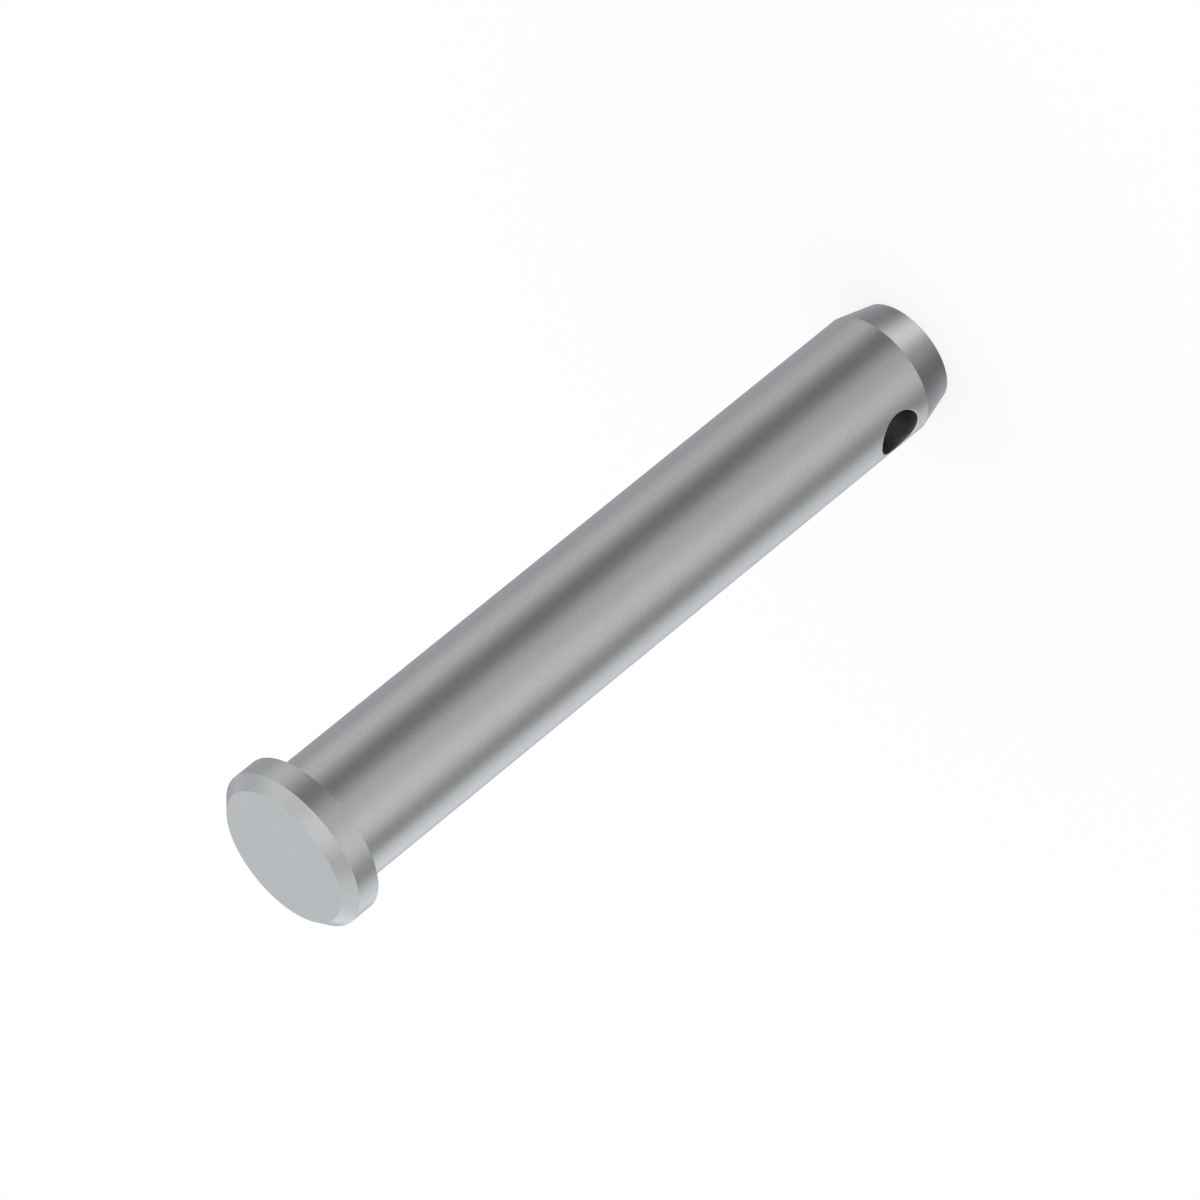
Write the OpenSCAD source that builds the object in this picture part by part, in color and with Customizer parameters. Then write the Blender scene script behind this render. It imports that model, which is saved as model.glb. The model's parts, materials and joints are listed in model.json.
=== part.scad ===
// Headed pin: one piece of turned steel, with a flat head, a plain shank, a
// tapered tail and one hole drilled across the tail for a split pin or clip.
// It stands on its flat tail end. The origin is the centre of that end, +Z runs
// up the pin's axis to the head, and the cross hole lies along Y.

/* [Shank] */
// Diameter of the straight shank
shank_d = 16; // [10:0.5:40]
// Length from the tail end to the underside of the head
under_head_len = 98; // [40:1:250]

/* [Head] */
// How far the rim of the head stands out past the shank
head_overhang = 2.35; // [1:0.05:8]
// Thickness of the head, from its underside to its flat top
head_thickness = 4.5; // [2.5:0.1:12]
// Height and width of the chamfer round the top of the head
head_chamfer = 1.45; // [0.2:0.05:4]
// Radius of the fillet where the shank meets the underside of the head
neck_fillet = 0.6; // [0.1:0.1:2]

/* [Tail] */
// Length of the taper that leads the tail into its bore
taper_len = 4.6; // [1:0.1:6]
// Slope of the taper from the pin's axis, in degrees
taper_angle = 15; // [5:1:45]

/* [Cross hole] */
// Diameter of the hole drilled across the tail
hole_d = 6; // [2:0.5:11]
// Distance from the tail end to the centre line of the hole
hole_from_end = 9.4; // [5:0.1:30]

/* [Hidden] */
shank_r = shank_d / 2;
head_r = shank_r + head_overhang;
head_flat_r = head_r - head_chamfer;
tail_r = shank_r - taper_len * tan(taper_angle);
overall_len = under_head_len + head_thickness;
// How far the drill runs out past each side of the shank
drill_overrun = 1;
$fn = 128;

// Half of the pin's section, from the axis outwards, with a sharp neck
module turned_outline() {
    polygon([
        [0, 0],
        [tail_r, 0],
        [shank_r, taper_len],
        [shank_r, under_head_len],
        [head_r, under_head_len],
        [head_r, overall_len - head_chamfer],
        [head_flat_r, overall_len],
        [0, overall_len]
    ]);
}

// The web of metal that rounds the corner between the shank and the head
module neck_web() {
    translate([shank_r, under_head_len - neck_fillet])
        difference() {
            square(neck_fillet);
            translate([neck_fillet, 0]) circle(r = neck_fillet);
        }
}

module turned_body() {
    rotate_extrude() {
        turned_outline();
        neck_web();
    }
}

// The drill that makes the hole, lying along Y through the tail
module cross_drill() {
    translate([0, 0, hole_from_end])
        rotate([90, 0, 0])
            cylinder(d = hole_d, h = shank_d + 2 * drill_overrun, center = true);
}

module pin() {
    color([0.63, 0.64, 0.64])
        difference() {
            turned_body();
            cross_drill();
        }
}

pin();
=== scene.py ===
import bpy
import bmesh
import json
import math
from mathutils import Matrix, Vector


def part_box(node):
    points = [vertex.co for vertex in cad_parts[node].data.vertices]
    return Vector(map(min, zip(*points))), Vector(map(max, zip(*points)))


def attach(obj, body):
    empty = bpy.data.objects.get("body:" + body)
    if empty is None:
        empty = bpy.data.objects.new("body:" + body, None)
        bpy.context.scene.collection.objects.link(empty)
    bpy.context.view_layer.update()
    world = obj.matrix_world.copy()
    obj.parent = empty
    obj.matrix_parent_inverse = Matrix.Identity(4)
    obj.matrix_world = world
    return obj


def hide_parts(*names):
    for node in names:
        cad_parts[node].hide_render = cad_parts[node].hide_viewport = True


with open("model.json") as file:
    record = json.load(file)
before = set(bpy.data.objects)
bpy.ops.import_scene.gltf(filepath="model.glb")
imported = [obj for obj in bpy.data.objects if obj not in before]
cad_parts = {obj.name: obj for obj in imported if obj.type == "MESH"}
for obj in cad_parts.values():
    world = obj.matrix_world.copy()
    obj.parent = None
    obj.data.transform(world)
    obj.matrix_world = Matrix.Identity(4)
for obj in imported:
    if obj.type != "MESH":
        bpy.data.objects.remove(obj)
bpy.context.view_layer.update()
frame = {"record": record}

# Every length below is in metres
MM = 0.001

# Sizes read from the frame
mounts = {mount["name"]: mount for mount in frame["record"]["mounts"]}
pin_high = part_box("pin")[1]
overall_len = pin_high.z
head_r = pin_high.x
shank_r = mounts["shank"]["dims"]["r_mm"] * MM
shank_mid = mounts["shank"]["pos_m"][2]
shank_half_len = mounts["shank"]["dims"]["length_mm"] * MM / 2
taper_len = shank_mid - shank_half_len
under_head = mounts["head_underside"]["pos_m"][2]
neck_fillet = under_head - shank_mid - shank_half_len
hole_r = mounts["cross_hole"]["dims"]["r_mm"] * MM
hole_z = mounts["cross_hole"]["pos_m"][2]

# The head's chamfer and the tail's taper, as in the solid
HEAD_CHAMFER = 1.45 * MM
TAPER_ANGLE = math.radians(15)

# Edge breaks left by the lathe tool and by the deburring of the hole
EDGE_BREAK = 0.03 * MM
HOLE_BREAK = 0.06 * MM

# How finely the surface is divided: columns round the pin, steps over a broken edge and over
# the neck's fillet, and rows up the plain shank
COLUMNS = 192
BREAK_STEPS = 3
FILLET_STEPS = 8
SHANK_ROWS = 16

# The windows in the shank that the hole's two mouths are let into: where they lie, the rows of
# the tail's two broken edges below them, their own rows, and their columns to each side
WINDOW_HALF_HEIGHT = 4.4 * MM
window_low = hole_z - WINDOW_HALF_HEIGHT
window_high = hole_z + WINDOW_HALF_HEIGHT
ROWS_BELOW_WINDOW = 2 * (BREAK_STEPS + 1)
WINDOW_ROWS = 24
WINDOW_HALF_COLUMNS = 15

# The columns in the middle of the two mouths, on the -Y side and on the +Y side
FRONT_COLUMN = COLUMNS * 3 // 4
BACK_COLUMN = COLUMNS // 4

# Rings of faces from a window's edge to its mouth, and from one mouth to the other
PATCH_RINGS = 6
WALL_RINGS = 12

# How strongly the large faces hold the shading of the points that they share, out of 100
FACE_WEIGHT = 100

# The camera: where it stands, seen from the pin's middle, how it is rolled, and its lens in
# millimetres. Azimuth 0 looks along +Y.
CAMERA_AZIMUTH = math.radians(60.2)
CAMERA_ELEVATION = math.radians(27.85)
CAMERA_DISTANCE = 1168.3 * MM
CAMERA_ROLL = math.radians(-129.1)
CAMERA_LENS = 309.04

# The nearest and the farthest that the camera sees
CAMERA_NEAR = 0.05
CAMERA_FAR = 50


# The turned outline, from the middle of the tail end to the middle of the head

def spaced(start, end, count):
    """Evenly spaced values from start to end, both included."""
    return [start + (end - start) * i / count for i in range(count + 1)]


def rounded_corner(before, corner, after, radius, steps):
    """Points of the arc that rounds a corner of the outline."""
    to_before = (before - corner).normalized()
    to_after = (after - corner).normalized()
    half_angle = to_before.angle(to_after) / 2
    middle = corner + (to_before + to_after).normalized() * radius / math.sin(half_angle)
    setback = radius / math.tan(half_angle)
    start = corner + to_before * setback - middle
    end = corner + to_after * setback - middle
    first = math.atan2(start.y, start.x)
    sweep = math.remainder(math.atan2(end.y, end.x) - first, math.tau)
    turns = [first + turn for turn in spaced(0, sweep, steps)]
    return [middle + Vector((math.cos(turn), math.sin(turn))) * radius for turn in turns]


def outline_corners():
    """Each corner of the half section: its radius, its height, its rounding and the steps of that."""
    tail_r = shank_r - taper_len * math.tan(TAPER_ANGLE)
    window = spaced(window_low, window_high, WINDOW_ROWS)
    straight = spaced(window_high, under_head - neck_fillet, SHANK_ROWS)[1:-1]
    return [
        (0, 0, 0, 0),
        (tail_r, 0, EDGE_BREAK, BREAK_STEPS),
        (shank_r, taper_len, EDGE_BREAK, BREAK_STEPS),
        *[(shank_r, height, 0, 0) for height in window + straight],
        (shank_r, under_head, neck_fillet, FILLET_STEPS),
        (head_r, under_head, EDGE_BREAK, BREAK_STEPS),
        (head_r, overall_len - HEAD_CHAMFER, EDGE_BREAK, BREAK_STEPS),
        (head_r - HEAD_CHAMFER, overall_len, EDGE_BREAK, BREAK_STEPS),
        (0, overall_len, 0, 0),
    ]


def turned_outline():
    """The pin's half section as points of radius and height, with its edges rounded."""
    corners = outline_corners()
    points = []
    for index, (radius, height, rounding, steps) in enumerate(corners):
        corner = Vector((radius, height))
        if rounding:
            before, after = (Vector(corners[index + side][:2]) for side in (-1, 1))
            points += rounded_corner(before, corner, after, rounding, steps)
        else:
            points.append(corner)
    return points


# The pin's mesh: a grid of rows and columns, with the hole let into it

def turned_grid(bm):
    """The grid's points: a row for each point of the outline off the axis, columns all round."""
    turns = [math.tau * column / COLUMNS for column in range(COLUMNS)]
    return [
        [bm.verts.new((point.x * math.cos(turn), point.x * math.sin(turn), point.y)) for turn in turns]
        for point in turned_outline()[1:-1]
    ]


def add_turned_faces(bm, grid, cut_rows, cut_columns):
    """The grid's faces, without those of the two windows."""
    for row in range(len(grid) - 1):
        for column in range(COLUMNS):
            if row in cut_rows and column in cut_columns:
                continue
            following = (column + 1) % COLUMNS
            bm.faces.new((
                grid[row][column], grid[row][following],
                grid[row + 1][following], grid[row + 1][column],
            ))


def bridge(bm, outer, inner):
    """Faces between two closed loops of as many points each."""
    count = len(outer)
    for i in range(count):
        j = (i + 1) % count
        bm.faces.new((outer[i], outer[j], inner[j], inner[i]))


def close_end(bm, loop, middle):
    """Faces from a closed loop to one point in its middle."""
    count = len(loop)
    for i in range(count):
        bm.faces.new((loop[i], loop[(i + 1) % count], middle))


def window_columns(middle, step):
    """The grid's columns across a mouth's window, in the order in which x grows."""
    return [(middle + step * i) % COLUMNS for i in range(-WINDOW_HALF_COLUMNS, WINDOW_HALF_COLUMNS + 1)]


def window_loop(grid, columns, low_row, high_row):
    """The grid's points round a window, in order."""
    rows = list(range(low_row, high_row + 1))
    bottom = [grid[low_row][column] for column in columns[:-1]]
    right = [grid[row][columns[-1]] for row in rows[:-1]]
    top = [grid[high_row][column] for column in reversed(columns[1:])]
    left = [grid[row][columns[0]] for row in reversed(rows[1:])]
    return bottom + right + top + left


def on_shank(x, height, side, depth=0):
    """The point at x and height on one side of the shank, or that far under its surface."""
    return Vector((x, side * (math.sqrt(shank_r**2 - x**2) - depth), height))


def add_mouth(bm, loop, side):
    """Fills a window up to the hole, rounds the hole's edge, and returns the wall's first loop."""
    starts = [Vector((vert.co.x, vert.co.z - hole_z)) for vert in loop]
    outer = loop
    for share in spaced(0, 1, PATCH_RINGS)[1:]:
        places = [start.lerp(start.normalized() * (hole_r + HOLE_BREAK), share) for start in starts]
        inner = [bm.verts.new(on_shank(place.x, hole_z + place.y, side)) for place in places]
        bridge(bm, outer, inner)
        outer = inner
    for turn in spaced(0, math.pi / 2, BREAK_STEPS)[1:]:
        radius = hole_r + HOLE_BREAK * (1 - math.sin(turn))
        depth = HOLE_BREAK * (1 - math.cos(turn))
        places = [start.normalized() * radius for start in starts]
        inner = [bm.verts.new(on_shank(place.x, hole_z + place.y, side, depth)) for place in places]
        bridge(bm, outer, inner)
        outer = inner
    return outer


def add_hole_wall(bm, front, back):
    """The drilled wall between the loops inside the two mouths."""
    outer = front
    for share in spaced(0, 1, WALL_RINGS)[1:-1]:
        inner = [bm.verts.new(a.co.lerp(b.co, share)) for a, b in zip(front, back)]
        bridge(bm, outer, inner)
        outer = inner
    bridge(bm, outer, back)


def pin_mesh():
    """The whole pin as one closed mesh."""
    bm = bmesh.new()
    grid = turned_grid(bm)
    low_row = ROWS_BELOW_WINDOW
    high_row = low_row + WINDOW_ROWS
    front = window_columns(FRONT_COLUMN, 1)
    back = window_columns(BACK_COLUMN, -1)
    add_turned_faces(bm, grid, range(low_row, high_row), {*front[:-1], *back[1:]})
    close_end(bm, grid[0], bm.verts.new((0, 0, 0)))
    close_end(bm, grid[-1], bm.verts.new((0, 0, overall_len)))
    front_wall = add_mouth(bm, window_loop(grid, front, low_row, high_row), -1)
    back_wall = add_mouth(bm, window_loop(grid, back, low_row, high_row), 1)
    add_hole_wall(bm, front_wall, back_wall)
    bmesh.ops.recalc_face_normals(bm, faces=bm.faces)
    mesh = bpy.data.meshes.new("headed_pin")
    bm.to_mesh(mesh)
    bm.free()
    mesh.shade_smooth()
    return mesh


def make_pin(material):
    """The visible pin, in the place of the solid."""
    pin = bpy.data.objects.new("headed_pin", pin_mesh())
    bpy.context.scene.collection.objects.link(pin)
    normals = pin.modifiers.new("flat faces stay flat", "WEIGHTED_NORMAL")
    normals.weight = FACE_WEIGHT
    pin.data.materials.append(material)
    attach(pin, "root")
    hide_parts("pin")


# Node helpers

# Where a Mix node keeps its two colours, and where it gives their mix
FIRST_COLOUR = 6
SECOND_COLOUR = 7
MIXED_COLOUR = 2


class Nodes:
    """The node tree of a new material or world, with short ways to add and join its nodes."""

    def __init__(self, owner):
        owner.use_nodes = True
        self.tree = owner.node_tree
        self.tree.nodes.clear()

    def add(self, kind, **settings):
        """A new node with its settings."""
        node = self.tree.nodes.new("ShaderNode" + kind)
        for name, value in settings.items():
            setattr(node, name, value)
        return node

    def feed(self, socket, value):
        """Joins a socket to another node's output, or sets it to a plain value."""
        if isinstance(value, bpy.types.NodeSocket):
            self.tree.links.new(value, socket)
        else:
            socket.default_value = value

    def math(self, operation, *values):
        """One step of arithmetic."""
        node = self.add("Math", operation=operation)
        for socket, value in zip(node.inputs, values):
            self.feed(socket, value)
        return node.outputs[0]

    def split(self, vector):
        """The x, y and z of a vector."""
        node = self.add("SeparateXYZ")
        self.feed(node.inputs[0], vector)
        return node.outputs

    def length(self, first, second):
        """How far a point with these two coordinates lies from the axis across them."""
        squares = (self.math("MULTIPLY", value, value) for value in (first, second))
        return self.math("SQRT", self.math("ADD", *squares))

    def smooth(self, value, low, high):
        """0 at low, 1 at high, with soft ends."""
        node = self.add("MapRange", interpolation_type="SMOOTHSTEP")
        self.feed(node.inputs["Value"], value)
        self.feed(node.inputs["From Min"], low)
        self.feed(node.inputs["From Max"], high)
        return node.outputs["Result"]

    def between(self, share, first, second):
        """A number between two numbers."""
        node = self.add("Mix", data_type="FLOAT")
        self.feed(node.inputs["Factor"], share)
        self.feed(node.inputs["A"], first)
        self.feed(node.inputs["B"], second)
        return node.outputs["Result"]

    def mix(self, share, first, second, blend="MIX"):
        """A colour between two colours, or between the first and the two blended."""
        node = self.add("Mix", data_type="RGBA", blend_type=blend)
        self.feed(node.inputs["Factor"], share)
        self.feed(node.inputs[FIRST_COLOUR], first)
        self.feed(node.inputs[SECOND_COLOUR], second)
        return node.outputs[MIXED_COLOUR]

    def noise(self, scale, detail, vector=None, along=None):
        """Noise in space, or along one value."""
        node = self.add("TexNoise", noise_dimensions="3D" if along is None else "1D")
        node.inputs["Scale"].default_value = scale
        node.inputs["Detail"].default_value = detail
        if along is not None:
            self.feed(node.inputs["W"], along)
        if vector is not None:
            self.feed(node.inputs["Vector"], vector)
        return node.outputs["Fac"]

    def finish(self, kind, shader):
        """The tree's output node, fed by its last shader."""
        self.feed(self.add(kind).inputs["Surface"], shader.outputs[0])

    def choose(self, share, first, second):
        """A shader between two shaders."""
        node = self.add("MixShader")
        for socket, value in zip(node.inputs, (share, first.outputs[0], second.outputs[0])):
            self.feed(socket, value)
        return node


def grey(level):
    """A plain grey as a colour."""
    return (level, level, level, 1)


# Turned steel

STEEL_COLOUR = (0.46, 0.476, 0.47, 1)
BRIGHT_COLOUR = (0.529, 0.547, 0.541, 1)

# How rough the turned steel is at least, what its patches and its turning marks add to that,
# and how rough the drilled hole is
ROUGHNESS = 0.225
PATCH_ROUGHNESS = 0.03
MARK_ROUGHNESS = 0.01
BORE_ROUGHNESS = 0.28

# How fine the patches, the turning marks and the satin grain are, in waves to the metre, and
# how much closer the marks lie on the faced ends than on the shank
PATCH_SCALE = 120
MARK_SCALE = 7000
GRAIN_SCALE = 3000
FACING_SHARE = 1.7
NOISE_DETAIL = 3

# How deep the surface is, and how much of its depth and of its tone is the satin grain
SURFACE_DEPTH = 0.013 * MM
GRAIN_SHARE = 0.7

# The band outside the hole's wall over which the drilled finish gives way to the turned one
BORE_FADE_START = 0.02 * MM
BORE_FADE_END = 0.06 * MM


def turned_steel():
    """Satin steel with fine turning marks round the pin, and a rougher drilled hole."""
    material = bpy.data.materials.new("turned steel")
    nodes = Nodes(material)
    place = nodes.add("TexCoord").outputs["Object"]
    x, y, z = nodes.split(place)

    # How far the tool has travelled along the surface, so that its marks run round the pin
    travel = nodes.math("ADD", z, nodes.math("MULTIPLY", nodes.length(x, y), FACING_SHARE))
    marks = nodes.noise(MARK_SCALE, NOISE_DETAIL, along=travel)
    grain = nodes.noise(GRAIN_SCALE, NOISE_DETAIL, vector=place)
    patches = nodes.noise(PATCH_SCALE, NOISE_DETAIL, vector=place)

    # 0 on the wall of the cross hole, 1 on the turned surface
    off_axis = nodes.length(x, nodes.math("SUBTRACT", z, hole_z))
    turned = nodes.smooth(off_axis, hole_r + BORE_FADE_START, hole_r + BORE_FADE_END)

    tone = nodes.between(GRAIN_SHARE, patches, grain)
    rough = nodes.math("ADD", ROUGHNESS, nodes.math("MULTIPLY", patches, PATCH_ROUGHNESS))
    rough = nodes.math("ADD", rough, nodes.math("MULTIPLY", marks, MARK_ROUGHNESS))
    bump = nodes.add("Bump")
    bump.inputs["Distance"].default_value = SURFACE_DEPTH
    nodes.feed(bump.inputs["Height"], nodes.between(GRAIN_SHARE, marks, grain))

    shader = nodes.add("BsdfPrincipled")
    shader.inputs["Metallic"].default_value = 1
    nodes.feed(shader.inputs["Base Color"], nodes.mix(tone, STEEL_COLOUR, BRIGHT_COLOUR))
    nodes.feed(shader.inputs["Roughness"], nodes.between(turned, BORE_ROUGHNESS, rough))
    nodes.feed(shader.inputs["Normal"], bump.outputs[0])
    nodes.finish("OutputMaterial", shader)
    return material


# The studio: a pale room with soft panels and grey flags all round the pin

# A half width that goes all the way round, soft edge included
ALL_ROUND = 400

# Each panel: azimuth from the camera's side, half width, elevation and half height, all in
# degrees, then its level, and how soft its edge is from 0 to 1. A later one covers an earlier one.
STUDIO_PANELS = {
    "ground glow": (0, ALL_ROUND, -85, 75, 0.50, 0.40),
    "back right wall": (130, 60, -25, 45, 0.55, 0.80),
    "right strip": (90, 30, -15, 25, 0.95, 0.95),
    "low right flag": (110, 70, -60, 30, 0.30, 0.90),
    "right flag": (40, 40, -30, 28, 0.20, 0.95),
    "front left strip": (-38, 34, -14, 29, 1.15, 0.95),
    "left flag": (-85, 30, -30, 30, 0.40, 0.95),
    "back left softbox": (-135, 50, -10, 32, 1.25, 0.85),
    "back gap": (175, 45, -22, 25, 0.45, 0.90),
    "low softbox": (40, 60, -70, 30, 1.55, 0.95),
    "low left flag": (-90, 75, -65, 28, 0.10, 0.90),
    "right pillar": (40, 40, 5, 24, 0.30, 0.90),
    "left pillar": (-85, 30, 5, 24, 0.40, 0.90),
    "back pillar": (175, 30, 0, 20, 0.40, 0.90),
    "high left flag": (-70, 45, 50, 30, 0.70, 0.95),
    "high right flag": (55, 35, 55, 25, 0.85, 0.95),
    "back right flag": (130, 50, 20, 35, 0.70, 0.95),
    "overhead softbox": (0, 60, 70, 30, 1.10, 0.95),
    "back wall": (180, 40, 30, 30, 0.92, 0.80),
}

# The light is a little cooler behind the pin and low down. For each of the two angles, in
# degrees: where that starts and where it is full.
COOL = (1.005, 1, 1.07, 1)
COOL_AZIMUTH = (80, 150)
COOL_ELEVATION = (60, 0)

# In degrees
HALF_TURN = 180
QUARTER_TURN = 90


def degrees_round(nodes, azimuth, from_camera):
    """How far round the pin a direction lies from an azimuth given from the camera's side."""
    camera_side = math.degrees(CAMERA_AZIMUTH) - QUARTER_TURN
    turned = nodes.math("SUBTRACT", azimuth, camera_side + from_camera)
    return nodes.math("ABSOLUTE", nodes.math("WRAP", turned, HALF_TURN, -HALF_TURN))


def studio_colour(nodes):
    """The colour of the studio in each direction."""
    x, y, z = nodes.split(nodes.add("TexCoord").outputs["Generated"])
    azimuth = nodes.math("DEGREES", nodes.math("ARCTAN2", y, x))
    elevation = nodes.math("DEGREES", nodes.math("ARCSINE", z))
    colour = grey(1)
    for from_camera, half_width, middle, half_height, level, softness in STUDIO_PANELS.values():
        across = degrees_round(nodes, azimuth, from_camera)
        up = nodes.math("ABSOLUTE", nodes.math("SUBTRACT", elevation, middle))
        in_width = nodes.smooth(across, half_width, half_width * (1 - softness))
        in_height = nodes.smooth(up, half_height, half_height * (1 - softness))
        colour = nodes.mix(nodes.math("MULTIPLY", in_width, in_height), colour, grey(level))
    behind = nodes.smooth(degrees_round(nodes, azimuth, 0), *COOL_AZIMUTH)
    low = nodes.smooth(elevation, *COOL_ELEVATION)
    return nodes.mix(nodes.math("MULTIPLY", behind, low), colour, COOL, "MULTIPLY")


def studio_world():
    """What the metal mirrors: the panels. What the camera sees behind the floor: white."""
    world = bpy.data.worlds.new("studio")
    nodes = Nodes(world)
    panels = nodes.add("Background")
    nodes.feed(panels.inputs["Color"], studio_colour(nodes))
    white = nodes.add("Background")
    white.inputs["Color"].default_value = grey(1)
    mirrored = nodes.add("LightPath").outputs["Is Glossy Ray"]
    nodes.finish("OutputWorld", nodes.choose(mirrored, white, panels))
    # The panels are so broad and soft that they need no sampling of their own
    world.cycles.sampling_method = "NONE"
    bpy.context.scene.world = world


# Half the floor's width, how far it lies under the pin, and how much of its white is its own
FLOOR_HALF_WIDTH = 5
FLOOR_DROP = 0.02 * MM
FLOOR_GLOW = 0.75


def floor_material():
    """Pale floor: white to the camera, and it still takes the pin's soft shadow."""
    material = bpy.data.materials.new("pale floor")
    nodes = Nodes(material)
    diffuse = nodes.add("BsdfDiffuse")
    diffuse.inputs["Color"].default_value = grey(1)
    glow = nodes.add("Emission")
    path = nodes.add("LightPath").outputs
    mirrored = nodes.math("MAXIMUM", path["Is Glossy Ray"], path["Is Transmission Ray"])
    seen = nodes.math("MAXIMUM", path["Is Camera Ray"], mirrored)
    share = nodes.math("MULTIPLY", seen, FLOOR_GLOW)
    nodes.finish("OutputMaterial", nodes.choose(share, diffuse, glow))
    return material


def make_floor():
    """The floor under the tail. Metal doesn't mirror it: the studio shows there instead."""
    half = FLOOR_HALF_WIDTH
    corners = [(-half, -half, 0), (half, -half, 0), (half, half, 0), (-half, half, 0)]
    mesh = bpy.data.meshes.new("floor")
    mesh.from_pydata(corners, [], [(0, 1, 2, 3)])
    mesh.materials.append(floor_material())
    floor = bpy.data.objects.new("floor", mesh)
    floor.location.z = -FLOOR_DROP
    floor.visible_glossy = False
    bpy.context.scene.collection.objects.link(floor)


def make_camera():
    """The camera of the photograph: a long lens, rolled so that the head lies lower left."""
    data = bpy.data.cameras.new("camera")
    data.lens = CAMERA_LENS
    data.clip_start = CAMERA_NEAR
    data.clip_end = CAMERA_FAR
    camera = bpy.data.objects.new("camera", data)
    bpy.context.scene.collection.objects.link(camera)
    back = Vector((
        math.sin(CAMERA_AZIMUTH) * math.cos(CAMERA_ELEVATION),
        -math.cos(CAMERA_AZIMUTH) * math.cos(CAMERA_ELEVATION),
        math.sin(CAMERA_ELEVATION),
    ))
    aim = Vector((0, 0, overall_len / 2))
    level = (-back).to_track_quat("-Z", "Y").to_matrix()
    rolled = level @ Matrix.Rotation(CAMERA_ROLL, 3, "Z")
    camera.matrix_world = Matrix.Translation(aim + back * CAMERA_DISTANCE) @ rolled.to_4x4()
    bpy.context.scene.camera = camera


make_camera()
make_floor()
studio_world()
make_pin(turned_steel())
bpy.context.scene.view_settings.view_transform = "Standard"
